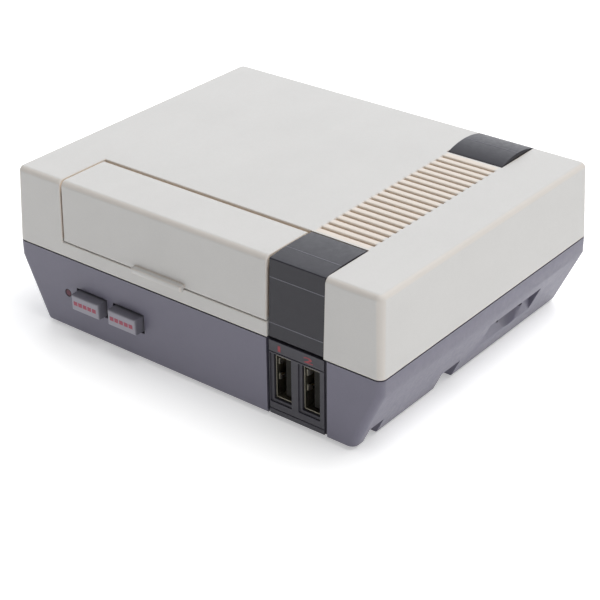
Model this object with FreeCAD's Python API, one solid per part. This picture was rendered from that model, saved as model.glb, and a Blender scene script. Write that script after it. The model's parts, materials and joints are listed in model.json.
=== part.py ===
"""Retro game console in a small case: two shells, a hinged cartridge door, ports and boards.

Units are millimetres. X runs to the right seen from the front, Y to the back, Z up.
Everything is laid out about the middle of the shells, and save() moves it so that the
origin is the bottom centre of the whole console, with the buttons counted in.
"""
import FreeCAD, Part
import math
import os

V = FreeCAD.Vector
X_AXIS, Y_AXIS, Z_AXIS = V(1, 0, 0), V(0, 1, 0), V(0, 0, 1)

# ---- shells ----
SHELL_W = 130.0          # across X at the seam
SHELL_D = 101.4          # across Y at the seam
SHELL_H = 46.6           # bottom of the lower shell to the top face
LOWER_H = 23.1           # bottom of the lower shell to the seam
FOOT_H = 1.0             # the rubber feet stand this far below the lower shell
SEAM_GAP = 0.45          # open line between the two shells
WALL = 2.0
DRAFT = 0.97             # each upper wall leans in this far at the top
BAND_H = 4.7             # upright band of the lower shell's sides, under the seam
SLOPE_IN = 8.6           # the sides then slope in this far at the bottom
CORNER_R = 2.2
TOP_R = 1.8

HALF_W = SHELL_W / 2
HALF_D = SHELL_D / 2
BASE_Z = FOOT_H
SEAM_Z = BASE_Z + LOWER_H
UPPER_Z = SEAM_Z + SEAM_GAP
TOP_Z = BASE_Z + SHELL_H
BAND_Z = SEAM_Z - BAND_H
FLOOR_Z = BASE_Z + WALL

# ---- cartridge door ----
DOOR_X0, DOOR_X1 = -46.2, 27.9
DOOR_REAR_Y = -32.2
DOOR_Z0 = 29.15
DOOR_T = 2.0
HINGE_GAP = 0.85
RIM_R = 0.35
HINGE_Y, HINGE_Z = -37.0, TOP_Z - 3.2
PIN_R, PIN_BORE_R, PIN_L = 1.2, 1.26, 2.2
LIP_X0, LIP_X1, LIP_OUT = -18.6, -0.3, 1.6
LIP_DROP, LIP_GAP = 0.6, 0.45

# ---- dark trims over the front and rear edges ----
TRIM_X0, TRIM_X1 = 28.4, 46.6
TRIM_INNER_Y = 31.7
TRIM_SINK = 0.5
TRIM_T = 1.4
TRIM_GAP = 0.22
FRONT_CROWN, REAR_CROWN = 0.45, 1.5

# ---- cooling slots ----
SLOT_COUNT, SLOT_PITCH, SLOT_W, RIB_R = 19, 3.133, 0.95, 0.5
SLOT_X0, SLOT_X1 = 28.7, 46.3

# ---- front: buttons, light and two sockets ----
BUTTON_W, BUTTON_H, BUTTON_OUT, BUTTON_GAP = 10.8, 5.0, 3.1, 0.55
BUTTON_Z = BASE_Z + 11.45
POWER_X, RESET_X = -36.4, -22.15
LED_X, LED_R = -46.1, 1.25
BEZEL_X0, BEZEL_X1 = 27.9, 47.9
BEZEL_FACE_X0, BEZEL_FACE_X1 = 28.7, 46.9
PORT_XS, PORT_Z = (33.0, 42.4), BASE_Z + 11.9
USB_W, USB_H, USB_SKIN = 13.1, 5.7, 0.3

# ---- main board and what it carries ----
BOARD_X0, BOARD_X1, BOARD_Y0, BOARD_Y1 = -30.0, 55.0, -9.5, 46.5
BOARD_Z, BOARD_T = 12.4, 1.4
BOARD_TOP = BOARD_Z + BOARD_T
BOARD_HOLES = ((51.5, -6.0), (-6.5, -6.0), (-6.5, 43.0))
HDMI_X, HDMI_W, HDMI_H, HDMI_FRONT_Y = 23.0, 15.0, 6.0, 47.0
PORT_CUT_HALF_W, PORT_CUT_LOW, PORT_CUT_HIGH, PORT_CUT_CORNER = 8.3, 13.9, 20.3, 2.6
PORT_SILL_HALF_W, PORT_SILL_LOW, PORT_SILL_HIGH = 9.5, 10.5, 14.5
JACK_X, JACK_Z, JACK_R, JACK_BORE_R, JACK_GAP = 1.2, 17.1, 3.25, 1.75, 0.25
CARD_Y, CARD_Z0, CARD_T = 18.5, 11.2, 0.7
CARD_W, CARD_L, CARD_TIP_X = 11.0, 15.0, 58.9
SCOOP_R, SCOOP_IN = 11.0, 2.0
SUB_BOARD_T = 1.6        # the switch, front socket and bay boards
POWER_BOARD_X0, POWER_BOARD_X1, POWER_BOARD_Y0, POWER_BOARD_Y1 = 36.2, 47.8, 33.2, 46.2
LEDGE_X0, LEDGE_X1, LEDGE_T, LEDGE_H = -46.0, -14.0, 1.4, 2.0

# ---- card pocket, foot notches and power recess in the lower shell ----
POCKET_Y0, POCKET_Y1, POCKET_X, POCKET_TOP = 2.7, 29.2, 59.5, BASE_Z + 14.5
NOTCHES = ((-46.7, -40.6, 5.0), (-14.6, -5.6, 6.0))
NOTCH_IN = 9.0
REAR_NOTCH = (-13.7, -4.4, 6.0)
RECESS_X0, RECESS_X1, RECESS_H, RECESS_IN = 33.0, 51.0, 9.1, 2.0
INLET_X, INLET_Z = 42.5, BASE_Z + 4.9

# ---- fasteners and feet ----
CASE_SCREWS = ((-51.0, -33.0), (51.0, -33.0), (-50.0, 42.0), (51.5, 43.0))
BOSS_R, SHANK_R, SHANK_CLEAR_R, HEAD_R, HEAD_T = 3.2, 1.2, 1.5, 2.3, 1.6
HEAD_SEAT = 8.0
FEET = ((-43.0, -36.0), (43.0, -36.0), (-43.0, 36.0), (43.0, 34.0))
FOOT_R, FOOT_SUNK = 4.0, 0.8

# ---- port bay behind the door ----
BAY_Z, BAY_T = 26.8, 1.6
BAY_FLOOR = BAY_Z + BAY_T
BAY_WALL_Y, BAY_WALL_T = -31.0, 1.6
BAY_BOARD_TOP = BAY_FLOOR + SUB_BOARD_T
BAY_USB_XS, BAY_LAN_X = (-3.0, 13.0), -25.0
BAY_SCREWS = ((-49.8, -19.0), (23.5, -19.0))


# =============================== helpers ===============================
def save(shape, node):
    """Move a finished piece to the console's own frame and write it."""
    shape = shape.copy()
    shape.translate(V(0, BUTTON_OUT / 2, 0))
    shape.exportStep("parts/%s.step" % node)
    solids = shape.Solids
    print("%-20s solids %2d  valid %s  %.1f mm3" % (node, len(solids), shape.isValid(), shape.Volume))


def box(x0, y0, z0, x1, y1, z1):
    """Plain block between two opposite corners."""
    return Part.makeBox(x1 - x0, y1 - y0, z1 - z0, V(x0, y0, z0))


def rod(x, y, z, length, radius, axis=Z_AXIS):
    """Round rod that starts at the point and runs along the axis."""
    return Part.makeCylinder(radius, length, V(x, y, z), axis)


def prism_x(points_yz, x0, x1):
    """Outline in the YZ plane, pushed along X."""
    wire = Part.makePolygon([V(x0, y, z) for y, z in points_yz + points_yz[:1]])
    return Part.Face(wire).extrude(V(x1 - x0, 0, 0))


def prism_y(points_xz, y0, y1):
    """Outline in the XZ plane, pushed along Y."""
    wire = Part.makePolygon([V(x, y0, z) for x, z in points_xz + points_xz[:1]])
    return Part.Face(wire).extrude(V(0, y1 - y0, 0))


def rounded_outline(half_x, half_y, z, radius):
    """Rectangle about the Z axis with round corners."""
    wire = Part.makePlane(2 * half_x, 2 * half_y, V(-half_x, -half_y, z)).OuterWire
    face = Part.Face(wire)
    solid = face.extrude(V(0, 0, 1))
    upright = [e for e in solid.Edges if abs(e.Vertexes[0].Z - e.Vertexes[-1].Z) > 0.5]
    rounded = solid.makeFillet(radius, upright)
    bottom = min(rounded.Faces, key=lambda f: f.CenterOfMass.z)
    return bottom.OuterWire


def loft(wires):
    """Straight-sided solid through a stack of outlines."""
    return Part.makeLoft(wires, True, True)


def block_round(x0, y0, z0, x1, y1, z1, radius, axis=Z_AXIS):
    """Block whose edges along the axis are round."""
    solid = box(x0, y0, z0, x1, y1, z1)
    edges = [e for e in solid.Edges if abs(e.tangentAt(e.FirstParameter).dot(axis)) > 0.99]
    return solid.makeFillet(radius, edges)


def edges_at_z(shape, z, tol=0.01):
    """Edges that lie in the level plane at z."""
    return [e for e in shape.Edges if all(abs(v.Z - z) < tol for v in e.Vertexes)]


def skin_edges(shape, skin, axis, place):
    """Edges that lie in the plane axis = place and on the skin the plane cuts through."""
    found = []
    for edge in shape.Edges:
        ends = [getattr(v, axis) for v in edge.Vertexes]
        middle = edge.valueAt((edge.FirstParameter + edge.LastParameter) / 2)
        in_plane = max(abs(at - place) for at in ends) < 0.01
        if in_plane and Part.Vertex(middle).distToShape(skin)[0] < 0.01:
            found.append(edge)
    return found


def join(pieces):
    """One solid from overlapping pieces."""
    first, rest = pieces[0], pieces[1:]
    return first.fuse(rest).removeSplitter() if rest else first


def lead(points, radius):
    """Round lead along straight runs joined by tangent arcs."""
    pts = [V(*p) for p in points]
    edges = []
    start = pts[0]
    for before, corner, after in zip(pts, pts[1:], pts[2:]):
        a, b = before - corner, after - corner
        half = (math.pi - a.getAngle(b)) / 2
        run = 0.45 * min(a.Length, b.Length)
        bend = run / math.tan(half)
        a.normalize()
        b.normalize()
        middle_dir = (a + b).normalize()
        centre_gap = bend / math.cos(half)
        on_a, on_b = corner + a * run, corner + b * run
        mid = corner + middle_dir * (centre_gap - bend)
        edges.append(Part.LineSegment(start, on_a).toShape())
        edges.append(Part.Arc(on_a, mid, on_b).toShape())
        start = on_b
    edges.append(Part.LineSegment(start, pts[-1]).toShape())
    path = Part.Wire(edges)
    first_run = pts[1] - pts[0]
    ring = Part.Wire(Part.makeCircle(radius, pts[0], first_run))
    return path.makePipeShell([ring], True, False)


def front_y(z):
    """Outer face of the upper shell's front wall at height z."""
    return -HALF_D + DRAFT * (z - SEAM_Z) / (TOP_Z - SEAM_Z)


def slope_x(z):
    """Outer face of the lower shell's right side at height z."""
    return HALF_W - SLOPE_IN * max(0.0, BAND_Z - z) / (BAND_Z - BASE_Z)


# =============================== shells ===============================
def upper_block(inset, z_low, z_high, radius):
    """The upper shell's leaning block, set in from its outer walls."""
    lean_low = DRAFT * (z_low - SEAM_Z) / (TOP_Z - SEAM_Z)
    lean_high = DRAFT * (z_high - SEAM_Z) / (TOP_Z - SEAM_Z)
    low = rounded_outline(HALF_W - inset - lean_low, HALF_D - inset - lean_low, z_low, radius)
    high = rounded_outline(HALF_W - inset - lean_high, HALF_D - inset - lean_high, z_high, radius)
    return loft([low, high])


def upper_outer():
    """Outside of the upper shell, with its top edges rounded."""
    block = upper_block(0, UPPER_Z, TOP_Z, CORNER_R)
    return block.makeFillet(TOP_R, edges_at_z(block, TOP_Z))


def trim_seat(side):
    """Space that a trim and its seat take out of the shell; side is -1 front, 1 rear."""
    far = HALF_D + 8
    low, high = SEAM_Z - 1, TOP_Z + 8
    inset = TRIM_SINK + TRIM_T + 0.05
    outline = [
        (side * far, low),
        (-side * (front_y(low) + inset), low),
        (-side * (front_y(TOP_Z) + inset), TOP_Z - TRIM_T - 0.2),
        (side * (TRIM_INNER_Y - TRIM_GAP), TOP_Z - TRIM_T - 0.2),
        (side * (TRIM_INNER_Y - TRIM_GAP), high),
        (side * far, high),
    ]
    return prism_x(outline, TRIM_X0 - TRIM_GAP, TRIM_X1 + TRIM_GAP)


def seat_backing(side):
    """Wall behind and under a trim, inside the shell."""
    low = UPPER_Z
    out, depth = TRIM_SINK + TRIM_T, 1.6
    under = TOP_Z - TRIM_T - 0.2
    outline = [
        (-side * (front_y(low) + out), low),
        (-side * (front_y(TOP_Z) + out), under),
        (-side * (front_y(TOP_Z) + out), TOP_Z - 1),
        (side * (TRIM_INNER_Y - 2), TOP_Z - 1),
        (side * (TRIM_INNER_Y - 2), under - depth),
        (-side * (front_y(TOP_Z) + out + depth), under - depth),
        (-side * (front_y(low) + out + depth), low),
    ]
    return prism_x(outline, TRIM_X0 - TRIM_GAP, TRIM_X1 + 1.8)


def hinge_rib(x0, x1):
    """Block under the top plate that holds one end of the door's hinge."""
    return box(x0, HINGE_Y - 3.4, HINGE_Z - 2.6, x1, HINGE_Y + 3.4, TOP_Z - TRIM_T - 0.2)


def make_upper_shell():
    """Top shell: slots, door opening, trim seats, screw bosses and hinge ribs."""
    shell = upper_outer().cut(upper_block(WALL, SEAM_Z - 3, TOP_Z - WALL, 1.0))
    opening_x0 = DOOR_X0 - 0.6
    opening_x1 = TRIM_X0 - TRIM_GAP
    ribs = [
        seat_backing(-1),
        seat_backing(1),
        hinge_rib(opening_x0 - 3.6, opening_x0),
        hinge_rib(opening_x1, opening_x1 + 3.4),
    ]
    boss_tops = [rod(x, y, SEAM_Z, TOP_Z - 1 - SEAM_Z, BOSS_R) for x, y in CASE_SCREWS[:3]]
    x, y = CASE_SCREWS[3]
    boss_tops.append(rod(x, y, BOARD_TOP, TOP_Z - 1 - BOARD_TOP, BOSS_R))
    bay_posts = [rod(x, y, BAY_FLOOR, TOP_Z - 1 - BAY_FLOOR, 2.6) for x, y in BAY_SCREWS]
    shell = join([shell] + ribs + boss_tops + bay_posts)
    rim_z, rim_y = DOOR_Z0 - 0.3, DOOR_REAR_Y + HINGE_GAP
    door_hole = box(opening_x0, -HALF_D - 5, rim_z, opening_x1, rim_y, TOP_Z + 5)
    slots = []
    for i in range(SLOT_COUNT):
        y = (i - (SLOT_COUNT - 1) / 2) * SLOT_PITCH
        slots.append(box(SLOT_X0, y - SLOT_W / 2, TOP_Z - 5, SLOT_X1, y + SLOT_W / 2, TOP_Z + 1))
    shell = shell.cut([door_hole] + slots)
    skin = upper_outer().Shells[0]
    rims = skin_edges(shell, skin, "X", opening_x0)
    rims += skin_edges(shell, skin, "Z", rim_z)
    rims += skin_edges(shell, skin, "Y", rim_y)
    shell = shell.makeFillet(RIM_R, rims)
    slot_rims = [e for e in edges_at_z(shell, TOP_Z)
                 if e.BoundBox.XMin > SLOT_X0 - 0.01 and e.BoundBox.XMax < SLOT_X1 + 0.01]
    shell = shell.makeFillet(RIB_R, slot_rims)
    cuts = [trim_seat(-1), trim_seat(1)]
    cuts.append(rod(DOOR_X0 - PIN_L - 0.5, HINGE_Y, HINGE_Z, 8, PIN_BORE_R, X_AXIS))
    cuts.append(rod(DOOR_X1, HINGE_Y, HINGE_Z, PIN_L + 0.5, PIN_BORE_R, X_AXIS))
    for x, y in CASE_SCREWS[:3]:
        cuts.append(rod(x, y, SEAM_Z - 1, HEAD_SEAT + 4, SHANK_R))
    x, y = CASE_SCREWS[3]
    cuts.append(rod(x, y, BOARD_TOP - 1, HEAD_SEAT + 4, SHANK_R))
    for x, y in BAY_SCREWS:
        cuts.append(rod(x, y, BAY_FLOOR - 1, 7.0, 0.9))
    return shell.cut(cuts)


def lower_block(inset, z_low, z_high, radius):
    """The lower shell's tapering block, set in from its outer walls."""
    low_x = slope_x(z_low) - inset * 1.1
    half_x, half_y = HALF_W - inset, HALF_D - inset
    outline = [
        (-low_x, z_low),
        (low_x, z_low),
        (half_x, BAND_Z),
        (half_x, z_high),
        (-half_x, z_high),
        (-half_x, BAND_Z),
    ]
    block = prism_y(outline, -half_y, half_y)
    corners = [e for e in block.Edges if abs(e.tangentAt(e.FirstParameter).z) > 0.5]
    return block.makeFillet(radius, corners)


def seam_lip():
    """Thin wall that stands up behind the seam and closes it to light."""
    outer = rounded_outline(HALF_W - WALL - 0.1, HALF_D - WALL - 0.1, SEAM_Z - 2, 1.0)
    inner = rounded_outline(HALF_W - WALL - 1.3, HALF_D - WALL - 1.3, SEAM_Z - 2, 0.6)
    height = V(0, 0, 3.6)
    ring = Part.Face(outer).extrude(height).cut(Part.Face(inner).extrude(height))
    skirt_outer = rounded_outline(HALF_W - 1.0, HALF_D - 1.0, SEAM_Z - 2, 1.0)
    skirt = Part.Face(skirt_outer).extrude(V(0, 0, 2)).cut(Part.Face(inner).extrude(V(0, 0, 2)))
    gaps = [box(TRIM_X0 - 3, -60, SEAM_Z, TRIM_X1 + 4, 60, SEAM_Z + 3)]
    return ring.fuse(skirt).removeSplitter().cut(gaps)


def port_outline():
    """Digital video port opening: wide at the top, its lower corners cut off."""
    half, low, high, corner = PORT_CUT_HALF_W, PORT_CUT_LOW, PORT_CUT_HIGH, PORT_CUT_CORNER
    return [
        (HDMI_X - half, high),
        (HDMI_X - half, low + corner),
        (HDMI_X - half + corner, low),
        (HDMI_X + half - corner, low),
        (HDMI_X + half, low + corner),
        (HDMI_X + half, high),
    ]


def notch_boxes(grow):
    """Foot notches, grown by a wall thickness to make the pocket walls around them."""
    found = []
    for y0, y1, high in NOTCHES:
        for side in (-1, 1):
            inner = side * (slope_x(BASE_Z) - NOTCH_IN - grow)
            outer = side * (HALF_W + 5)
            low_x, high_x = min(inner, outer), max(inner, outer)
            found.append(box(low_x, y0 - grow, BASE_Z - 3, high_x, y1 + grow, BASE_Z + high + grow))
    x0, x1, high = REAR_NOTCH
    found.append(box(x0 - grow, HALF_D - 12 - grow, BASE_Z - 3, x1 + grow, HALF_D + 5, BASE_Z + high + grow))
    return found


def screw_tube_z(index):
    """Height of the face where the lower shell's tube meets the upper shell's boss or the board."""
    return BOARD_Z if index == 3 else SEAM_Z


def make_lower_shell():
    """Bottom tray: sloped sides, ports, card pocket, foot notches, screw tubes and standoffs."""
    outer = lower_block(0, BASE_Z, SEAM_Z, CORNER_R)
    outer = outer.makeFillet(0.7, edges_at_z(outer, BASE_Z))
    hollow = lower_block(WALL, FLOOR_Z, SEAM_Z + 2, 1.0)
    inside = [box(POCKET_X - 3.0, POCKET_Y0 - 1.6, BASE_Z, HALF_W, POCKET_Y1 + 1.6, POCKET_TOP + 1.6)]
    inside += notch_boxes(1.6)
    inside.append(box(RECESS_X0 - 1.6, HALF_D - 4, BASE_Z, RECESS_X1 + 1.6, HALF_D, BASE_Z + RECESS_H + 1.6))
    for i, (x, y) in enumerate(CASE_SCREWS):
        inside.append(rod(x, y, BASE_Z, screw_tube_z(i) - BASE_Z, BOSS_R))
    for x, y in BOARD_HOLES:
        inside.append(rod(x, y, BASE_Z, BOARD_Z - BASE_Z, 3.0))
    inside.append(box(POWER_BOARD_X0 - 0.2, POWER_BOARD_Y0 - 0.2, BASE_Z,
                      POWER_BOARD_X1 + 0.2, 40, FLOOR_Z + 0.4))
    inside.append(box(HDMI_X - PORT_SILL_HALF_W, HDMI_FRONT_Y + 0.1, PORT_SILL_LOW,
                      HDMI_X + PORT_SILL_HALF_W, HALF_D - 1, PORT_SILL_HIGH))
    for y in (SWITCH_BOARD_Y - LEDGE_T, SWITCH_BOARD_Y + SUB_BOARD_T):
        inside.append(box(LEDGE_X0, y, BASE_Z, LEDGE_X1, y + LEDGE_T, FLOOR_Z + LEDGE_H))
    inside = Part.makeCompound([piece.common(outer) for piece in inside])
    shell = join([outer.cut(hollow)] + inside.Solids + [seam_lip()])

    cuts = [box(POCKET_X, POCKET_Y0, BASE_Z - 5, HALF_W + 9, POCKET_Y1, POCKET_TOP)]
    cuts.append(box(POCKET_X - 5, CARD_Y - 6.7, CARD_Z0 - 0.4, POCKET_X + 1, CARD_Y + 6.7, CARD_Z0 + 1.1))
    scoop = Part.makeSphere(SCOOP_R, V(POCKET_X + SCOOP_R - SCOOP_IN, CARD_Y, CARD_Z0 + 2.0))
    cuts.append(scoop.common(box(0, -60, 0, 90, 60, CARD_Z0 + 0.2)))
    cuts += notch_boxes(0)
    cuts.append(box(RECESS_X0, HALF_D - RECESS_IN, BASE_Z - 3, RECESS_X1, HALF_D + 5, BASE_Z + RECESS_H))
    cuts.append(block_round(INLET_X - 4.2, 40, INLET_Z - 1.75, INLET_X + 4.2, 55, INLET_Z + 1.75, 0.9, Y_AXIS)
                .common(box(0, HALF_D - 4.1, 0, 90, 60, 30)))
    cuts.append(prism_y(port_outline(), HALF_D - 4, HALF_D + 5))
    cuts.append(rod(JACK_X, HALF_D - 4, JACK_Z, 9, JACK_R + JACK_GAP, Y_AXIS))
    cuts.append(box(BEZEL_X0, -HALF_D - 5, BASE_Z - 5, BEZEL_X1, -HALF_D + WALL, SEAM_Z + 5))
    for x in (POWER_X, RESET_X):
        half_w, half_h = BUTTON_W / 2 + BUTTON_GAP, BUTTON_H / 2 + BUTTON_GAP
        low = (x - half_w, -HALF_D - 5, BUTTON_Z - half_h)
        cuts.append(box(*low, x + half_w, -HALF_D + 5, BUTTON_Z + half_h))
    cuts.append(rod(LED_X, -HALF_D - 2, BUTTON_Z + 0.15, 7, LED_R + 0.05, Y_AXIS))
    for i, (x, y) in enumerate(CASE_SCREWS):
        seat = screw_tube_z(i) - HEAD_SEAT + 2
        cuts.append(rod(x, y, BASE_Z - 2, seat - BASE_Z + 2, HEAD_R + 0.2))
        cuts.append(rod(x, y, BASE_Z - 2, 40, SHANK_CLEAR_R))
    for x, y in BOARD_HOLES:
        cuts.append(rod(x, y, BOARD_Z - 4.6, 8, 1.0))
    for x, y in FEET:
        cuts.append(rod(x, y, BASE_Z - 1, 1 + FOOT_SUNK, FOOT_R))
    return shell.cut(cuts)


def make_trim(side, crown):
    """Dark strip that wraps one edge: flat outer face, crowned top, crisp corner."""
    outer_low = front_y(UPPER_Z) + TRIM_SINK
    outer_top = front_y(TOP_Z) + TRIM_SINK
    under = TOP_Z - TRIM_T - 0.15
    bottom = SEAM_Z + 0.5
    inner_end = V(0, side * TRIM_INNER_Y, TOP_Z - 0.05)
    corner = V(0, -side * outer_top, TOP_Z - 0.35)
    middle = V(0, (inner_end.y + corner.y) / 2, TOP_Z - 0.2 + crown)
    path = [
        V(0, -side * outer_low, bottom),
        V(0, -side * (outer_low + TRIM_T), bottom),
        V(0, -side * (outer_top + TRIM_T), under),
        V(0, side * TRIM_INNER_Y, under),
        inner_end,
    ]
    edges = [Part.LineSegment(a, b).toShape() for a, b in zip(path, path[1:])]
    edges.append(Part.Arc(inner_end, middle, corner).toShape())
    edges.append(Part.LineSegment(corner, path[0]).toShape())
    strip = Part.Face(Part.Wire(edges)).extrude(V(TRIM_X1 - TRIM_X0, 0, 0))
    strip.translate(V(TRIM_X0, 0, 0))
    return strip


def make_door():
    """Cartridge door: the shell's own corner, hinged at its rear edge, with a finger lip."""
    reach = box(DOOR_X0, -HALF_D - 5, DOOR_Z0, DOOR_X1, DOOR_REAR_Y, TOP_Z + 5)
    plate = upper_outer().common(reach).cut(upper_block(DOOR_T, SEAM_Z - 3, TOP_Z - DOOR_T, 0.5))
    rear_edge = [e for e in edges_at_z(plate, TOP_Z)
                 if all(abs(v.Y - DOOR_REAR_Y) < 0.01 for v in e.Vertexes)]
    plate = plate.makeFillet(0.9, rear_edge)
    skin = upper_outer().Shells[0]
    rims = skin_edges(plate, skin, "X", DOOR_X0) + skin_edges(plate, skin, "X", DOOR_X1)
    plate = plate.makeFillet(RIM_R, rims + skin_edges(plate, skin, "Z", DOOR_Z0))
    face = front_y(DOOR_Z0)
    lip_outline = [
        (face + 1.0, DOOR_Z0 + 0.1),
        (face - LIP_GAP, DOOR_Z0 + 0.1),
        (face - LIP_GAP, DOOR_Z0 - LIP_DROP),
        (face - LIP_OUT + 0.3, DOOR_Z0 - LIP_DROP),
        (face - LIP_OUT, DOOR_Z0 - LIP_DROP + 0.3),
        (face - LIP_OUT, DOOR_Z0 + 0.8),
        (face - LIP_OUT + 0.3, DOOR_Z0 + 1.1),
        (face + 1.0, DOOR_Z0 + 1.4),
    ]
    lip = prism_x(lip_outline, LIP_X0, LIP_X1)
    ends = [e for e in lip.Edges if abs(e.tangentAt(e.FirstParameter).z) > 0.6
            and all(v.Y < face - LIP_OUT + 0.05 for v in e.Vertexes)]
    lip = lip.makeFillet(0.6, ends)
    pieces = [plate, lip]
    for inner, outer, pin_x in ((DOOR_X0 + 2.6, DOOR_X0, DOOR_X0 - PIN_L),
                                (DOOR_X1 - 2.6, DOOR_X1, DOOR_X1 - 1.0)):
        low_x, high_x = min(inner, outer), max(inner, outer)
        pieces.append(box(low_x, HINGE_Y - 2.0, HINGE_Z - 1.8, high_x, HINGE_Y + 2.0, TOP_Z - 1.0))
        pieces.append(rod(pin_x, HINGE_Y, HINGE_Z, PIN_L + 1.0, PIN_R, X_AXIS))
    for x in (-24.0, 6.0):
        stiffener = [(HINGE_Y - 2, TOP_Z - 1.5), (-HALF_D + 2, TOP_Z - 1.5), (-HALF_D + 2, TOP_Z - 9)]
        pieces.append(prism_x(stiffener, x, x + 1.2))
    return join(pieces)


# =============================== front of the console ===============================
def make_bezel():
    """Dark frame around the two front sockets, with a stepped opening for each."""
    front, back = -HALF_D, -HALF_D + WALL
    low, high = BASE_Z + 0.4, SEAM_Z - 0.1
    plate = box(BEZEL_X0 + 0.1, front + 0.8, low, BEZEL_X1 - 0.1, back - 0.05, high)
    face = box(BEZEL_FACE_X0, front + 0.15, low, BEZEL_FACE_X1, front + 1.2, high)
    bezel = join([plate, face])
    cuts = []
    digits_low = BASE_Z + 19.5
    for line_z in (low + 1.5, digits_low):
        cuts.append(box(BEZEL_FACE_X0 - 1, front - 1, line_z, BEZEL_FACE_X1 + 1, front + 0.4, line_z + 0.3))
    for x in PORT_XS:
        half_w, half_h = USB_H / 2 + 0.2, USB_W / 2 + 0.35
        step_low = (x - half_w - 1.0, front - 1, PORT_Z - half_h - 0.9)
        cuts.append(box(*step_low, x + half_w, front + 0.6, PORT_Z + half_h + 0.25))
        cuts.append(box(x - half_w, front - 1, PORT_Z - half_h, x + half_w, back + 1, PORT_Z + half_h))
    return bezel.cut(cuts)


def usb_shell(x, y, z, depth, upright):
    """Metal sleeve of one type-A socket, mouth towards -Y at y; upright turns it on its side."""
    half_w, half_h = (USB_H / 2, USB_W / 2) if upright else (USB_W / 2, USB_H / 2)
    outer = block_round(x - half_w, y, z - half_h, x + half_w, y + depth, z + half_h, 0.5, Y_AXIS)
    t = USB_SKIN
    inner = box(x - half_w + t, y - 1, z - half_h + t, x + half_w - t, y + depth - t, z + half_h - t)
    return outer.cut(inner)


def usb_tongue(x, y, z, depth, upright):
    """Plastic tongue inside one socket."""
    t = USB_SKIN
    low, high = -USB_H / 2 + t + 2.3, USB_H / 2 - t - 0.85
    if upright:
        return box(x + low, y + 1.0, z - 5.6, x + high, y + depth - t, z + 5.6)
    return box(x - 5.6, y + 1.0, z + low, x + 5.6, y + depth - t, z + high)


def usb_contacts(x, y, z, upright):
    """Four contact strips on a socket's tongue, facing the wide side of its gap."""
    face = -USB_H / 2 + USB_SKIN + 2.3
    strips = []
    for place in (-3.5, -1.0, 1.0, 3.5):
        if upright:
            strips.append(box(x + face - 0.12, y + 1.8, z + place - 0.5, x + face, y + 9.0, z + place + 0.5))
        else:
            strips.append(box(x + place - 0.5, y + 1.8, z + face - 0.12, x + place + 0.5, y + 9.0, z + face))
    return strips


FRONT_USB_Y, FRONT_USB_DEPTH = -HALF_D + 1.25, 13.15


def make_button(x):
    """Push button: rectangular cap with rounded front edges and a flange behind the wall."""
    front, half_w, half_h = -HALF_D - BUTTON_OUT, BUTTON_W / 2, BUTTON_H / 2
    back = -HALF_D + WALL + 4.3
    cap = box(x - half_w, front, BUTTON_Z - half_h, x + half_w, back, BUTTON_Z + half_h)
    cap = cap.makeFillet(0.7, [e for e in cap.Edges if all(v.Y < front + 0.01 for v in e.Vertexes)])
    flange_y = -HALF_D + WALL + 2.2
    flange = box(x - half_w - 1.5, flange_y, BUTTON_Z - half_h - 1.3,
                 x + half_w + 1.5, flange_y + 1.0, BUTTON_Z + half_h + 1.3)
    return join([cap, flange])


SWITCH_Y = -HALF_D + WALL + 4.3
PLUNGER_L = 3.0
SWITCH_BODY_Y = SWITCH_Y + PLUNGER_L
SWITCH_BOARD_Y = SWITCH_BODY_Y + 5.0


def make_switch_body(x):
    """Square switch behind a button, with the bore that its plunger slides in."""
    body = box(x - 3.2, SWITCH_BODY_Y, BUTTON_Z - 3.2, x + 3.2, SWITCH_BOARD_Y, BUTTON_Z + 3.2)
    return body.cut(rod(x, SWITCH_BODY_Y - 1, BUTTON_Z, 5.5, 1.5, Y_AXIS))


def make_plunger(x):
    """Plunger that the button pushes into the switch."""
    return rod(x, SWITCH_Y, BUTTON_Z, PLUNGER_L + 1.5, 1.42, Y_AXIS)


# =============================== main board ===============================
def make_main_board():
    """Green circuit board with rounded corners and four fixing holes."""
    board = block_round(BOARD_X0, BOARD_Y0, BOARD_Z, BOARD_X1, BOARD_Y1, BOARD_TOP, 3.0)
    holes = [rod(x, y, BOARD_Z - 1, 5, 1.35) for x, y in BOARD_HOLES + (CASE_SCREWS[3],)]
    return board.cut(holes)


def make_heat_sink():
    """Finned block on the processor."""
    x0, y0, size = 22.5, 14.5, 14.0
    base_z = BOARD_TOP + 1.4
    block = box(x0, y0, base_z, x0 + size, y0 + size, base_z + 6.0)
    gaps = [box(x0 - 1, y0 + 1.0 + 1.9 * i, base_z + 1.4, x0 + size + 1, y0 + 2.0 + 1.9 * i, base_z + 9)
            for i in range(7)]
    return block.cut(gaps)


def make_passives():
    """Small chip capacitors and resistors in rows on the board."""
    parts = []
    for i in range(8):
        parts.append(box(10 + 2.4 * i, 3.5, BOARD_TOP, 11 + 2.4 * i, 5.1, BOARD_TOP + 0.6))
        parts.append(box(-10 + 2.4 * i, 26.0, BOARD_TOP, -9 + 2.4 * i, 27.6, BOARD_TOP + 0.6))
        parts.append(box(42.0, 8 + 2.4 * i, BOARD_TOP, 43.6, 9 + 2.4 * i, BOARD_TOP + 0.6))
    parts += [rod(x, 34.0, BOARD_TOP, 3.0, 2.0) for x in (38.0, 44.0)]
    return Part.makeCompound(parts)


HEADER_X0, HEADER_Y, PIN_PITCH = -2.4, -6.0, 2.54


def make_header():
    """Plastic strip of the pin header."""
    return box(HEADER_X0, HEADER_Y - 2.54, BOARD_TOP, HEADER_X0 + 20 * PIN_PITCH, HEADER_Y + 2.54 - 0.1,
               BOARD_TOP + 2.5)


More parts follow.
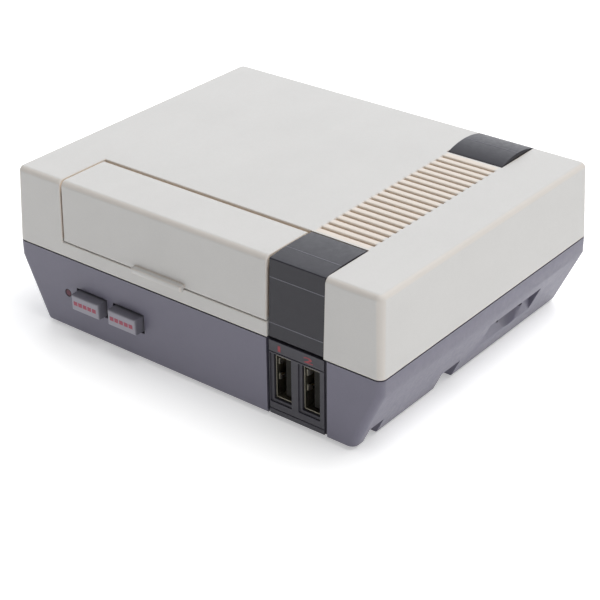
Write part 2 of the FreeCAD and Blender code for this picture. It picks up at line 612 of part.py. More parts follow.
def make_pins():
    """Two rows of twenty square pins standing out of the header."""
    pins = []
    for i in range(20):
        for row in (-1, 1):
            x, y = HEADER_X0 + PIN_PITCH * (i + 0.5), HEADER_Y + row * PIN_PITCH / 2
            pins.append(box(x - 0.32, y - 0.32, BOARD_TOP + 2.5, x + 0.32, y + 0.32, BOARD_TOP + 8.5))
    return Part.makeCompound(pins)


def make_ribbon_connectors():
    """Two flat-cable connectors for a camera and a display."""
    camera = box(7.0, 35.5, BOARD_TOP, 11.0, 45.5, BOARD_TOP + 5.5)
    display = box(48.5, 16.0, BOARD_TOP, 52.5, 38.0, BOARD_TOP + 5.5)
    return Part.makeCompound([camera, display])


def make_hdmi_shell():
    """Metal shell of the video socket, its lower corners tucked in."""
    half, low, high = HDMI_W / 2, BOARD_TOP, BOARD_TOP + HDMI_H
    outline = [
        (HDMI_X - half, high),
        (HDMI_X - half, low + 2.2),
        (HDMI_X - half + 1.6, low),
        (HDMI_X + half - 1.6, low),
        (HDMI_X + half, low + 2.2),
        (HDMI_X + half, high),
    ]
    t = 0.4
    hole = [
        (HDMI_X - half + t, high - t),
        (HDMI_X - half + t, low + 2.3),
        (HDMI_X - half + 1.8, low + t),
        (HDMI_X + half - 1.8, low + t),
        (HDMI_X + half - t, low + 2.3),
        (HDMI_X + half - t, high - t),
    ]
    return prism_y(outline, 35.6, HDMI_FRONT_Y).cut(prism_y(hole, 36.1, 49.0))


def make_hdmi_tongue():
    """Tongue inside the video socket."""
    return box(HDMI_X - 5.6, 36.1, BOARD_TOP + 2.6, HDMI_X + 5.6, HDMI_FRONT_Y - 1.2, BOARD_TOP + 4.0)


def make_audio_jack():
    """Round 3.5 mm jack on a square body."""
    body = box(JACK_X - 3.2, 34.6, BOARD_TOP, JACK_X + 3.2, 47.1, JACK_Z + 3.0)
    barrel = rod(JACK_X, 47.0, JACK_Z, 3.0, JACK_R, Y_AXIS)
    return join([body, barrel]).cut(rod(JACK_X, 36.6, JACK_Z, 20, JACK_BORE_R, Y_AXIS))


def make_power_inlet():
    """Micro-USB socket on the small power board."""
    y0, y1 = 41.6, HALF_D - RECESS_IN - 0.3
    low, high = INLET_Z - 1.45, INLET_Z + 1.45
    outline = [
        (INLET_X - 3.9, high),
        (INLET_X - 3.9, low + 1.0),
        (INLET_X - 2.9, low),
        (INLET_X + 2.9, low),
        (INLET_X + 3.9, low + 1.0),
        (INLET_X + 3.9, high),
    ]
    hole = [
        (INLET_X - 3.5, high - 0.35),
        (INLET_X - 3.5, low + 1.1),
        (INLET_X - 2.7, low + 0.35),
        (INLET_X + 2.7, low + 0.35),
        (INLET_X + 3.5, low + 1.1),
        (INLET_X + 3.5, high - 0.35),
    ]
    shell = prism_y(outline, y0, y1).cut(prism_y(hole, y0 + 0.6, y1 + 1))
    tongue = box(INLET_X - 2.4, y0 + 0.3, INLET_Z + 0.05, INLET_X + 2.4, y1 - 0.9, INLET_Z + 0.75)
    return join([shell, tongue])


def make_power_board():
    """Small board under the main board that carries the power inlet."""
    z = INLET_Z - 1.45
    return box(POWER_BOARD_X0, POWER_BOARD_Y0, z - 1.05, POWER_BOARD_X1, POWER_BOARD_Y1, z)


def make_sd_socket():
    """Card socket on the underside of the main board."""
    x0, x1 = 41.5, 54.5
    shell = box(x0, CARD_Y - 6.6, CARD_Z0 - 0.35, x1, CARD_Y + 6.6, BOARD_Z)
    top = CARD_Z0 + CARD_T + 0.15
    return shell.cut(box(x0 + 2.0, CARD_Y - 5.7, CARD_Z0 - 0.15, x1 + 1, CARD_Y + 5.7, top))


def make_memory_card():
    """Memory card, its outer end within finger reach in the side pocket."""
    x0 = CARD_TIP_X - CARD_L
    outline = [
        V(x0, CARD_Y - CARD_W / 2 + 1.2, CARD_Z0),
        V(x0 + 5.5, CARD_Y - CARD_W / 2 + 1.2, CARD_Z0),
        V(x0 + 6.7, CARD_Y - CARD_W / 2, CARD_Z0),
        V(CARD_TIP_X, CARD_Y - CARD_W / 2, CARD_Z0),
        V(CARD_TIP_X, CARD_Y + CARD_W / 2, CARD_Z0),
        V(x0, CARD_Y + CARD_W / 2, CARD_Z0),
    ]
    return Part.Face(Part.makePolygon(outline + outline[:1])).extrude(V(0, 0, CARD_T))


STACK_YS, LAN_Y = (17.5, -0.5), 36.25
STACK_X0, STACK_H, LAN_H = -32.3, 15.6, 13.5


def make_usb_stack(y):
    """Double socket block on the board's left edge, with its two mouths."""
    block = box(STACK_X0, y - 6.6, BOARD_TOP, STACK_X0 + 17.5, y + 6.6, BOARD_TOP + STACK_H)
    mouths = [box(STACK_X0 - 1, y - 6.2, BOARD_TOP + low, STACK_X0 + 10, y + 6.2, BOARD_TOP + low + 5.1)
              for low in (1.6, 9.0)]
    return block.cut(mouths)


def make_board_lan_jack():
    """Network jack on the board's left edge."""
    block = box(STACK_X0, LAN_Y - 8, BOARD_TOP, STACK_X0 + 21, LAN_Y + 8, BOARD_TOP + LAN_H)
    mouth = box(STACK_X0 - 1, LAN_Y - 5.9, BOARD_TOP + 2.5, STACK_X0 + 12, LAN_Y + 5.9, BOARD_TOP + 11)
    return block.cut(mouth)


PLUG_Z0 = BOARD_TOP + 1.9
PLUG_BACK_X = STACK_X0 - 13.0


def make_adapter_plugs():
    """Two USB plugs and a network plug pushed into the board's own sockets."""
    plugs = []
    for y in STACK_YS:
        nose = box(STACK_X0 - 1, y - 6.0, PLUG_Z0, STACK_X0 + 8, y + 6.0, PLUG_Z0 + 4.5)
        grip = box(PLUG_BACK_X, y - 6.6, PLUG_Z0 - 1.4, STACK_X0 - 0.3, y + 6.6, PLUG_Z0 + 5.6)
        plugs.append(join([nose, grip]))
    nose = box(STACK_X0 - 1, LAN_Y - 5.7, PLUG_Z0 + 0.8, STACK_X0 + 10, LAN_Y + 5.7, PLUG_Z0 + 8.6)
    grip = box(PLUG_BACK_X, LAN_Y - 6.3, PLUG_Z0, STACK_X0 - 0.3, LAN_Y + 6.3, PLUG_Z0 + 9.0)
    plugs.append(join([nose, grip]))
    return Part.makeCompound(plugs)


# =============================== port bay ===============================
BAY_BACK_Y, BAY_END_X0, BAY_END_X1 = -12.0, -52.6, 27.4


def make_port_bay():
    """Inner frame behind the door: floor, back wall with three openings, door stop."""
    front = -HALF_D + WALL + 0.9
    floor = box(DOOR_X0, front, BAY_Z, BAY_END_X1, BAY_BACK_Y, BAY_FLOOR)
    rear = box(BAY_END_X0, -25.0, BAY_Z, BAY_END_X1, BAY_BACK_Y, BAY_FLOOR)
    wall = box(DOOR_X0, BAY_WALL_Y, BAY_Z, BAY_END_X1, BAY_WALL_Y + BAY_WALL_T, HINGE_Z - 0.4)
    stop = box(DOOR_X0 + 2, front, BAY_Z, BAY_END_X1 - 2, front + 1.2, DOOR_Z0 + 1.6)
    left = box(DOOR_X0, front, BAY_Z, DOOR_X0 + 1.4, BAY_WALL_Y + 0.5, HINGE_Z - 5.4)
    right = box(BAY_END_X1 - 1.4, front, BAY_Z, BAY_END_X1, BAY_WALL_Y + 0.5, HINGE_Z - 5.4)
    bay = join([floor, rear, wall, stop, left, right])
    usb_z = BAY_BOARD_TOP + USB_H / 2
    cuts = [box(x - 6.75, BAY_WALL_Y - 1, usb_z - 3.05, x + 6.75, BAY_WALL_Y + 3, usb_z + 3.05)
            for x in BAY_USB_XS]
    cuts.append(box(BAY_LAN_X - 8.15, BAY_WALL_Y - 1, BAY_FLOOR, BAY_LAN_X + 8.15, BAY_WALL_Y + 3,
                    BAY_BOARD_TOP + 13.1))
    cuts += [rod(x, y, BAY_Z - 1, 5, 1.15) for x, y in BAY_SCREWS]
    return bay.cut(cuts)


def make_bay_board():
    """Board on the bay's rear shelf that carries its three sockets."""
    return box(-44.0, BAY_WALL_Y + BAY_WALL_T + 0.1, BAY_FLOOR, 20.0, BAY_BACK_Y - 0.2, BAY_BOARD_TOP)


def make_bay_lan_jack():
    """Network jack whose mouth faces the bay."""
    y0, depth, high = BAY_WALL_Y - 0.1, 16.0, 12.9
    block = box(BAY_LAN_X - 8, y0, BAY_BOARD_TOP, BAY_LAN_X + 8, y0 + depth, BAY_BOARD_TOP + high)
    steps = []
    for half, low_z, high_z in ((5.9, 3.4, 10.4), (3.1, 1.9, 4.0), (1.7, 0.8, 2.4)):
        steps.append(box(BAY_LAN_X - half, y0 - 1, BAY_BOARD_TOP + low_z,
                         BAY_LAN_X + half, y0 + 12.5, BAY_BOARD_TOP + high_z))
    return block.cut(steps)


def make_bay_lan_contacts():
    """Eight sloping spring contacts in the network jack's roof."""
    y0, roof = BAY_WALL_Y - 0.1, BAY_BOARD_TOP + 10.4
    wires = []
    for i in range(8):
        x = BAY_LAN_X + (i - 3.5) * 1.02
        outline = [(y0 + 2.0, roof), (y0 + 9.5, roof - 2.6), (y0 + 9.5, roof - 2.2), (y0 + 3.2, roof)]
        wires.append(prism_x(outline, x - 0.22, x + 0.22))
    return Part.makeCompound(wires)


# =============================== leads, screws and feet ===============================
def make_adapter_leads():
    """Leads from the three adapter plugs round to the bay board."""
    leads = []
    for y, x_end, high in ((STACK_YS[1], -38.0, 32.2), (STACK_YS[0], -34.5, 32.2), (LAN_Y, -31.0, 32.2)):
        z = PLUG_Z0 + 2.2
        route = [
            (PLUG_BACK_X, y, z),
            (-53.5, y, z),
            (-53.5, y, high),
            (x_end, y, high),
            (x_end, BAY_BACK_Y - 0.4, high),
        ]
        leads.append(lead(route, 1.3))
    return Part.makeCompound(leads)


def make_lead_plugs():
    """Small white plug housings where the leads meet the boards."""
    blocks = [box(-40.0, -14.9, BAY_BOARD_TOP, -29.0, BAY_BACK_Y - 0.4, BAY_BOARD_TOP + 4.4)]
    blocks.append(box(22.0, -1.0, BOARD_TOP, 28.0, 2.0, BOARD_TOP + 4.0))
    blocks.append(box(-13.5, -8.0, BOARD_TOP, -9.5, -5.0, BOARD_TOP + 4.0))
    blocks.append(box(28.0, 34.0, BOARD_Z - 3.4, 33.0, 38.0, BOARD_Z))
    blocks.append(box(33.2, 35.0, INLET_Z - 2.4, 36.2, 38.5, INLET_Z + 0.6))
    return Part.makeCompound(blocks)


def screw(x, y, seat, length, shank, head_r, head_t):
    """Pan-head screw driven upwards, with a cross recess in its head."""
    head = rod(x, y, seat - head_t, head_t, head_r)
    head = head.makeChamfer(0.3, edges_at_z(head, seat - head_t))
    body = join([head, rod(x, y, seat - 0.2, length + 0.2, shank)])
    for long_x, long_y in ((head_r * 0.62, 0.26), (0.26, head_r * 0.62)):
        low, high = seat - head_t - 1, seat - head_t * 0.35
        body = body.cut(box(x - long_x, y - long_y, low, x + long_x, y + long_y, high))
    return body


def down_screw(x, y, seat, length, shank, head_r, head_t):
    """The same screw driven downwards."""
    up = screw(x, y, 0, length, shank, head_r, head_t)
    turned = up.copy()
    turned.rotate(V(x, y, 0), X_AXIS, 180)
    turned.translate(V(0, 0, seat))
    return turned


def make_case_screws():
    """Four screws that pull the shells together from below."""
    found = []
    for i, (x, y) in enumerate(CASE_SCREWS):
        seat = screw_tube_z(i) - HEAD_SEAT + 2
        found.append(screw(x, y, seat, HEAD_SEAT + 5, SHANK_R, HEAD_R, HEAD_T))
    return Part.makeCompound(found)


def make_feet():
    """Four round rubber feet sunk into the tray's bottom."""
    feet = []
    for x, y in FEET:
        foot = rod(x, y, 0, FOOT_H + FOOT_SUNK, FOOT_R - 0.02)
        feet.append(foot.makeFillet(0.4, edges_at_z(foot, 0)))
    return Part.makeCompound(feet)


# =============================== write every node ===============================
os.makedirs("parts", exist_ok=True)

save(make_upper_shell(), "upper_shell")
save(make_lower_shell(), "lower_shell")
save(make_door(), "cartridge_door")
save(make_trim(-1, FRONT_CROWN), "front_trim")
save(make_trim(1, REAR_CROWN), "rear_trim")
save(make_bezel(), "front_port_bezel")

front_usb = [(x, FRONT_USB_Y, PORT_Z) for x in PORT_XS]
save(Part.makeCompound([usb_shell(*p, FRONT_USB_DEPTH, True) for p in front_usb]), "front_usb_shells")
save(Part.makeCompound([usb_tongue(*p, FRONT_USB_DEPTH, True) for p in front_usb]), "front_usb_tongues")
save(Part.makeCompound([c for p in front_usb for c in usb_contacts(*p, True)]), "front_usb_contacts")
board_y = FRONT_USB_Y + FRONT_USB_DEPTH
save(box(28.0, board_y, FLOOR_Z, 47.6, board_y + SUB_BOARD_T, BASE_Z + 20.0), "front_usb_board")

save(make_button(POWER_X), "power_button")
save(make_button(RESET_X), "reset_button")
save(make_switch_body(POWER_X), "power_switch")
save(make_switch_body(RESET_X), "reset_switch")
save(make_plunger(POWER_X), "power_plunger")
save(make_plunger(RESET_X), "reset_plunger")
led_rod = rod(LED_X, -HALF_D + 0.1, BUTTON_Z + 0.15, 7.0, LED_R, Y_AXIS)
led_base = rod(LED_X, -HALF_D + WALL + 1.0, BUTTON_Z + 0.15, 1.0, LED_R + 0.5, Y_AXIS)
save(join([led_rod, led_base]), "power_led")
switch_back_y = SWITCH_BOARD_Y + SUB_BOARD_T
save(box(-47.2, SWITCH_BOARD_Y, FLOOR_Z, -16.5, switch_back_y, BASE_Z + 17.0), "switch_board")

save(make_main_board(), "main_board")
save(box(22.5, 14.5, BOARD_TOP, 36.5, 28.5, BOARD_TOP + 1.4), "processor")
save(make_heat_sink(), "heat_sink")
save(box(4.0, 14.0, BOARD_TOP, 16.0, 24.0, BOARD_TOP + 1.0), "memory_chip")
save(box(-9.0, 10.0, BOARD_TOP, 0.0, 19.0, BOARD_TOP + 1.0), "usb_hub_chip")
save(make_passives(), "board_passives")
save(make_header(), "gpio_header")
save(make_pins(), "gpio_pins")
save(make_ribbon_connectors(), "ribbon_connectors")
save(make_hdmi_shell(), "hdmi_shell")
save(make_hdmi_tongue(), "hdmi_tongue")
save(make_audio_jack(), "audio_jack")
save(make_sd_socket(), "sd_socket")
save(make_memory_card(), "memory_card")
save(Part.makeCompound([make_usb_stack(y) for y in STACK_YS]), "board_usb_stacks")
save(make_board_lan_jack(), "board_lan_jack")
save(make_adapter_plugs(), "adapter_plugs")
save(make_power_board(), "power_board")
save(make_power_inlet(), "power_inlet")

save(make_port_bay(), "port_bay")
save(make_bay_board(), "bay_board")
bay_usb = [(x, BAY_WALL_Y - 0.1, BAY_BOARD_TOP + USB_H / 2) for x in BAY_USB_XS]
save(Part.makeCompound([usb_shell(*p, FRONT_USB_DEPTH, False) for p in bay_usb]), "bay_usb_shells")
save(Part.makeCompound([usb_tongue(*p, FRONT_USB_DEPTH, False) for p in bay_usb]), "bay_usb_tongues")
save(Part.makeCompound([c for p in bay_usb for c in usb_contacts(*p, False)]), "bay_usb_contacts")
save(make_bay_lan_jack(), "bay_lan_jack")
save(make_bay_lan_contacts(), "bay_lan_contacts")

save(make_adapter_leads(), "adapter_leads")
save(make_lead_plugs(), "lead_plugs")
front_route = [(37.8, board_y + SUB_BOARD_T, 6.0), (37.8, -24.0, 6.0), (25.0, -20.0, 9.5),
               (25.0, -14.5, 25.0), (25.0, 0.5, 25.0), (25.0, 0.5, BOARD_TOP + 4.0)]
save(lead(front_route, 1.2), "front_usb_lead")
switch_route = [(-24.0, switch_back_y, 7.5), (-24.0, -25.0, 7.5), (-11.5, -18.0, 11.0),
                (-11.5, -6.5, 24.0), (-11.5, -6.5, BOARD_TOP + 4.0)]
save(lead(switch_route, 1.0), "switch_lead")
power_route = [(33.2, 36.75, INLET_Z - 0.9), (30.5, 36.75, INLET_Z - 0.9), (30.5, 36.75, BOARD_Z - 3.4)]
save(lead(power_route, 0.9), "power_lead")

save(make_case_screws(), "case_screws")
board_screws = [down_screw(x, y, BOARD_TOP, 5.5, 1.0, 2.1, 1.4) for x, y in BOARD_HOLES]
save(Part.makeCompound(board_screws), "board_screws")
bay_screws = [screw(x, y, BAY_Z, 6.5, 0.9, 1.9, 1.2) for x, y in BAY_SCREWS]
save(Part.makeCompound(bay_screws), "bay_screws")
save(make_feet(), "rubber_feet")
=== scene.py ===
"""Looks for the retro games console: materials, printed marks, studio and camera.

Metres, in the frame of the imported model. The shapes are the CAD nodes; this script gives
them finishes, rounds their small edges, and adds the print on the buttons, the bezel and the
dark trims, and the springs in the front sockets.
"""

import json
import math

import bpy
from mathutils import Matrix, Vector


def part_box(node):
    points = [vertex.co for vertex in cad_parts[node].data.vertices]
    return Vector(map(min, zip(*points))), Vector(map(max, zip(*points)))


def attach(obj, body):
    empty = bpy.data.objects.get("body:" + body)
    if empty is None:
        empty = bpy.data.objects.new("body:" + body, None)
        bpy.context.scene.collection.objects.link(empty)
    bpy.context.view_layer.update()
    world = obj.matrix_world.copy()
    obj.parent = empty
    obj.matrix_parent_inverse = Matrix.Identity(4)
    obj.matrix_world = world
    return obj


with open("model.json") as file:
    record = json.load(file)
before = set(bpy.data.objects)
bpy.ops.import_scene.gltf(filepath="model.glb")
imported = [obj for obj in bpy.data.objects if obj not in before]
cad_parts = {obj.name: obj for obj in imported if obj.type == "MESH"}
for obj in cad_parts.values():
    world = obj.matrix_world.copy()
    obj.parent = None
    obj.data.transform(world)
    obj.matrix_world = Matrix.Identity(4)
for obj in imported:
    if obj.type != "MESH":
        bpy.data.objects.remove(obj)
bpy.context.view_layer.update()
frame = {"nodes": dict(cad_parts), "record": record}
nodes = frame["nodes"]
scene = bpy.context.scene
MM = 0.001


# =============================== camera ===============================
AZIMUTH, ELEVATION, ROLL = math.radians(38.788), math.radians(29.309), math.radians(-0.757)
DISTANCE = 0.466554
AIM_HEIGHT = 0.026
SLIDE_RIGHT, SLIDE_UP = -0.000716, -0.019855
LENS_MM = 96.56


def add_camera():
    """Camera at the console's front right, looking down at it."""
    shell_low = Vector(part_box("lower_shell")[0])
    shell_high = Vector(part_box("lower_shell")[1])
    aim = Vector((0.0, (shell_low.y + shell_high.y) / 2, AIM_HEIGHT))
    flat = math.cos(ELEVATION)
    back = Vector((math.sin(AZIMUTH) * flat, -math.cos(AZIMUTH) * flat, math.sin(ELEVATION)))
    level_right = (-back).cross(Vector((0, 0, 1))).normalized()
    level_up = level_right.cross(-back)
    right = level_right * math.cos(ROLL) + level_up * math.sin(ROLL)
    up = level_up * math.cos(ROLL) - level_right * math.sin(ROLL)
    place = aim + back * DISTANCE + right * SLIDE_RIGHT + up * SLIDE_UP
    data = bpy.data.cameras.new("camera")
    data.lens = LENS_MM
    data.sensor_width = 36.0
    data.clip_start, data.clip_end = 0.01, 20.0
    camera = bpy.data.objects.new("camera", data)
    turn = Matrix((right, up, back)).transposed().to_4x4()
    camera.matrix_world = Matrix.Translation(place) @ turn
    scene.collection.objects.link(camera)
    scene.camera = camera


add_camera()


# =============================== materials ===============================
class Shader:
    """A Principled material, with short ways to wire procedural detail into it."""

    def __init__(self, name, color, roughness, metallic=0.0, coat=0.0):
        self.material = bpy.data.materials.new(name)
        self.material.use_nodes = True
        self.tree = self.material.node_tree
        self.bsdf = self.tree.nodes["Principled BSDF"]
        self.bsdf.inputs["Base Color"].default_value = (*color, 1.0)
        self.bsdf.inputs["Roughness"].default_value = roughness
        self.bsdf.inputs["Metallic"].default_value = metallic
        self.bsdf.inputs["Coat Weight"].default_value = coat
        self.place = self.node("ShaderNodeTexCoord").outputs["Object"]

    def node(self, kind, **settings):
        made = self.tree.nodes.new(kind)
        for key, value in settings.items():
            setattr(made, key, value)
        return made

    def link(self, a, b):
        self.tree.links.new(a, b)

    def noise(self, scale, detail=2.0, rough=0.5, stretch=(1, 1, 1)):
        """Noise over the row frame; scale is features per metre."""
        mapping = self.node("ShaderNodeMapping")
        mapping.inputs["Scale"].default_value = stretch
        self.link(self.place, mapping.inputs["Vector"])
        made = self.node("ShaderNodeTexNoise")
        made.inputs["Scale"].default_value = scale
        made.inputs["Detail"].default_value = detail
        made.inputs["Roughness"].default_value = rough
        self.link(mapping.outputs["Vector"], made.inputs["Vector"])
        return made.outputs["Fac"]

    def math(self, operation, a, b=0.0):
        made = self.node("ShaderNodeMath", operation=operation)
        for socket, value in zip(made.inputs, (a, b)):
            if hasattr(value, "links"):
                self.link(value, socket)
            else:
                socket.default_value = value
        return made.outputs["Value"]

    def spread(self, source, low, high, to_low=0.0, to_high=1.0):
        """source from low..high to to_low..to_high, clamped."""
        made = self.node("ShaderNodeMapRange")
        made.inputs["From Min"].default_value = low
        made.inputs["From Max"].default_value = high
        made.inputs["To Min"].default_value = to_low
        made.inputs["To Max"].default_value = to_high
        self.link(source, made.inputs["Value"])
        return made.outputs["Result"]

    def mix(self, factor, a, b):
        made = self.node("ShaderNodeMix", data_type="RGBA")
        self.link(factor, made.inputs["Factor"])
        for socket, value in ((made.inputs["A"], a), (made.inputs["B"], b)):
            if hasattr(value, "links"):
                self.link(value, socket)
            else:
                socket.default_value = (*value, 1.0)
        return made.outputs["Result"]

    def edges(self, radius):
        """0 on flat stretches, up to 1 within radius of an edge."""
        bevel = self.node("ShaderNodeBevel", samples=6)
        bevel.inputs["Radius"].default_value = radius
        normal = self.node("ShaderNodeNewGeometry").outputs["Normal"]
        dot = self.node("ShaderNodeVectorMath", operation="DOT_PRODUCT")
        self.link(bevel.outputs["Normal"], dot.inputs[0])
        self.link(normal, dot.inputs[1])
        return self.spread(dot.outputs["Value"], 0.995, 0.80)

    def axis(self, letter):
        """One coordinate of the place, in metres."""
        split = self.node("ShaderNodeSeparateXYZ")
        self.link(self.place, split.inputs["Vector"])
        return split.outputs[letter]

    def rounded(self):
        """Up to 1 on the rounds between top and sides, and at the upright corners."""
        turn = self.node("ShaderNodeSeparateXYZ")
        self.link(self.node("ShaderNodeNewGeometry").outputs["Normal"], turn.inputs["Vector"])
        upward = self.math("ABSOLUTE", turn.outputs["Z"])
        brow = self.math("MULTIPLY", self.spread(upward, 0.18, 0.45), self.spread(upward, 0.99, 0.88))
        both = self.math("ABSOLUTE", self.math("MULTIPLY", turn.outputs["X"], turn.outputs["Y"]))
        return self.math("MAXIMUM", brow, self.spread(both, 0.12, 0.35))

    def within(self, letter, low, high, fade):
        """1 between two planes across an axis, fading to 0 outside them."""
        at = self.axis(letter)
        return self.math("MULTIPLY", self.spread(at, low - fade, low), self.spread(at, high + fade, high))

    def crevice(self, reach):
        """0 in the open, up to 1 down in gaps and slots narrower than reach."""
        occlusion = self.node("ShaderNodeAmbientOcclusion", samples=8)
        occlusion.inputs["Distance"].default_value = reach
        return self.spread(occlusion.outputs["AO"], 0.75, 0.15)

    def bump(self, height, distance, strength=1.0):
        made = self.node("ShaderNodeBump")
        made.inputs["Distance"].default_value = distance
        made.inputs["Strength"].default_value = strength
        self.link(height, made.inputs["Height"])
        self.link(made.outputs["Normal"], self.bsdf.inputs["Normal"])

    def tint(self, factor, color):
        """Lays one more colour over the base colour, by factor."""
        base = self.bsdf.inputs["Base Color"].links[0].from_socket
        self.set_color(self.mix(factor, base, color))

    def set_color(self, source):
        self.link(source, self.bsdf.inputs["Base Color"])

    def set_roughness(self, source):
        self.link(source, self.bsdf.inputs["Roughness"])


def scaled(color, factor):
    return tuple(min(1.0, c * factor) for c in color)


def moulded_plastic(name, color, roughness, edge_wear_highlight_color, edge_wear_highlight_share=0.6, grain=1.0):
    """Spark-textured moulding: fine grain, faint flow marks, slightly paler edges: partly rubbed wear,
    partly a painted highlight where light catches the edges.
    """
    s = Shader(name, color, roughness)
    slow = s.noise(28, 4, 0.6)
    flow = s.noise(90, 3, 0.5, (1, 0.35, 1))
    tone = s.math("ADD", s.math("MULTIPLY", slow, 0.6), s.math("MULTIPLY", flow, 0.4))
    body = s.mix(s.spread(tone, 0.35, 0.65), scaled(color, 0.965), scaled(color, 1.03))
    fine = s.noise(5200, 2, 0.6)
    speck = s.mix(s.spread(fine, 0.32, 0.68), scaled(color, 0.94), scaled(color, 1.05))
    blend = s.node("ShaderNodeMix", data_type="RGBA")
    blend.inputs["Factor"].default_value = 0.4
    s.link(body, blend.inputs["A"])
    s.link(speck, blend.inputs["B"])
    # paler edges: partly rubbed wear, partly a painted highlight on the rounded edges
    rub_and_highlight = s.math("MULTIPLY", s.edges(0.35 * MM), s.spread(s.noise(160, 4, 0.6), 0.3, 0.6, 0.45, 1.0))
    edged = s.mix(s.math("MULTIPLY", rub_and_highlight, edge_wear_highlight_share), blend.outputs["Result"], edge_wear_highlight_color)
    s.set_color(edged)
    s.set_roughness(s.spread(s.noise(700, 3, 0.6), 0.3, 0.7, roughness - 0.05, roughness + 0.06))
    s.bump(s.math("ADD", s.noise(2600, 3, 0.65), s.math("MULTIPLY", fine, 0.5)), 0.012 * MM * grain)
    return s


SHELL_LIGHT = (0.615, 0.606, 0.590)
SHELL_CREAM_GLOW = (0.74, 0.66, 0.58)
GAP_GLOW_COLOR = (0.92, 0.76, 0.60)
GAP_DEEP_SHADE_COLOR = (0.42, 0.34, 0.29)
SHELL_GREY = (0.158, 0.151, 0.202)
GREY_SHADE = (0.055, 0.053, 0.068)
TRIM_DARK = (0.019, 0.018, 0.026)
BEZEL_DARK = (0.038, 0.036, 0.048)
BUTTON_GREY = (0.165, 0.160, 0.190)
BUTTON_FACE_HIGHLIGHT = (0.32, 0.31, 0.36)


def light_shell():
    """Pale casing plastic, with painted light: a cream highlight on the grille's ribs and the rounds, for
    light glowing through the thin plastic there, and painted glow and shade down in its gaps.
    """
    s = moulded_plastic("shell_light", SHELL_LIGHT, 0.52, SHELL_CREAM_GLOW, 0.9)
    front_low, front_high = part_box("front_trim")
    rear_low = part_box("rear_trim")[0]
    ribs = s.math("MULTIPLY", s.within("X", front_low[0] + MM, front_high[0] - MM, MM),
                  s.within("Y", front_high[1] + 1.2 * MM, rear_low[1] - 1.2 * MM, 0.6 * MM))
    # painted highlight: cream over the grille's ribs and the rounds, for light glowing through thin
    # plastic
    thin = s.math("MAXIMUM", s.math("MULTIPLY", ribs, 0.9), s.math("MULTIPLY", s.rounded(), 0.4))
    s.tint(thin, SHELL_CREAM_GLOW)
    door_low, door_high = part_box("cartridge_door")
    above_door = door_low[2] + 2 * MM
    # painted glow: warm pale colour down in gaps and slots above the door's bottom edge, for light
    # bouncing between their walls
    glow_in_gaps = s.math("MULTIPLY", s.crevice(2.5 * MM), s.spread(s.axis("Z"), above_door - MM, above_door))
    s.tint(glow_in_gaps, GAP_GLOW_COLOR)
    # painted shade: darker further down in those gaps
    upright = s.spread(s.axis("Z"), door_high[2] - 2.0 * MM, door_high[2] - 4.0 * MM)
    s.tint(s.math("MULTIPLY", glow_in_gaps, upright), GAP_DEEP_SHADE_COLOR)
    return s


def grey_shell():
    """Grey casing plastic, with painted shade darkening its recesses."""
    s = moulded_plastic("shell_grey", SHELL_GREY, 0.40, (0.36, 0.345, 0.40), 0.4)
    # painted shade in the recesses
    s.tint(s.math("MULTIPLY", s.crevice(5.0 * MM), 0.7), GREY_SHADE)
    return s


def trim_plastic():
    """Dark trims: smoother, with less shine than the casing."""
    s = moulded_plastic("trim_dark", TRIM_DARK, 0.38, (0.060, 0.058, 0.078), 0.5, 0.6)
    s.bsdf.inputs["Specular IOR Level"].default_value = 0.42
    return s


def button_plastic():
    """Button caps: the pressed face is painted paler than the top and sides, a painted highlight."""
    s = moulded_plastic("button_grey", BUTTON_GREY, 0.46, (0.40, 0.38, 0.43), 0.6)
    turn = s.node("ShaderNodeSeparateXYZ")
    s.link(s.node("ShaderNodeNewGeometry").outputs["Normal"], turn.inputs["Vector"])
    # painted highlight on the front-facing faces
    s.tint(s.spread(turn.outputs["Y"], -0.55, -0.95), BUTTON_FACE_HIGHLIGHT)
    return s


def metal(name, color, roughness, grain=(1, 1, 1), scale=900):
    """Drawn or rolled metal: directional grain and uneven dulling."""
    s = Shader(name, color, roughness, metallic=1.0)
    streak = s.noise(scale, 4, 0.6, grain)
    s.set_color(s.mix(s.spread(streak, 0.3, 0.7), scaled(color, 0.86), scaled(color, 1.06)))
    s.set_roughness(s.spread(s.noise(220, 4, 0.6), 0.3, 0.7, roughness - 0.07, roughness + 0.12))
    s.bump(streak, 0.004 * MM)
    return s


def smooth_plastic(name, color, roughness, coat=0.0):
    """Plain moulded plastic with faint flow marks."""
    s = Shader(name, color, roughness, coat=coat)
    s.set_color(s.mix(s.spread(s.noise(300, 4, 0.6), 0.3, 0.7), scaled(color, 0.88), scaled(color, 1.1)))
    s.set_roughness(s.spread(s.noise(1200, 3, 0.6), 0.3, 0.7, roughness - 0.05, roughness + 0.08))
    s.bump(s.noise(1800, 2, 0.5), 0.004 * MM)
    return s


